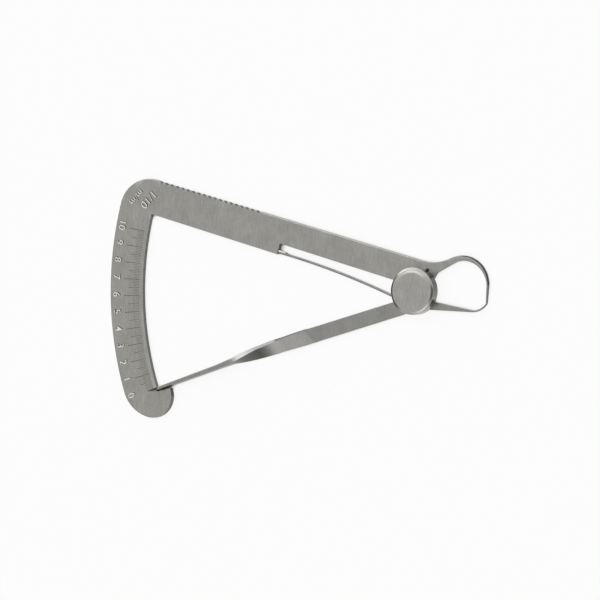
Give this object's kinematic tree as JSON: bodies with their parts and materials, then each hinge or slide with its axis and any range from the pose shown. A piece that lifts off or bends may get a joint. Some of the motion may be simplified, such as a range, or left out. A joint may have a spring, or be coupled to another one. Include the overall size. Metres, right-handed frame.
{
  "type": "decimal spring caliper",
  "caption": "Flat steel spring caliper with curved jaws, a lapped pivot under a round cap and a long pointer that sweeps an engraved arc scale in tenths of a millimetre.",
  "frame": {"origin": "pivot axis in the plane of the back of the frame, on which the gauge lies", "axes": "+X from the pivot towards the jaws, +Y towards the serrated arm, +Z out of the graduated face"},
  "size_m": [0.1063, 0.0604, 0.0044],
  "materials": {
    "satin_steel": "satin ground stainless steel",
    "cap_steel": "turned and brushed stainless steel",
    "spring_steel": "bright rolled spring steel",
    "hub_steel": "plain turned steel",
    "dark_steel": "dark pin end"
  },
  "bodies": {
    "frame": {"scale_frame": "satin_steel", "closing_spring": "spring_steel", "spring_wedge": "spring_steel", "pivot_cap": "cap_steel", "pivot_screw": "hub_steel", "pivot_bush": "hub_steel", "tension_washer": "spring_steel", "hub_shim": "hub_steel", "cap_lock_pin": "dark_steel"},
    "lever": {"pointer_lever": "satin_steel"}
  },
  "joints": [
    {"name": "lever_pivot", "type": "hinge", "parent": "frame", "child": "lever", "pos_m": [0, 0, 0], "axis": [0, 0, -1], "range_deg": [0, 29.55], "stiffness_Nm_per_rad": 0.007, "springref_deg": -10.31, "deforming": ["closing_spring"]}
  ]
}
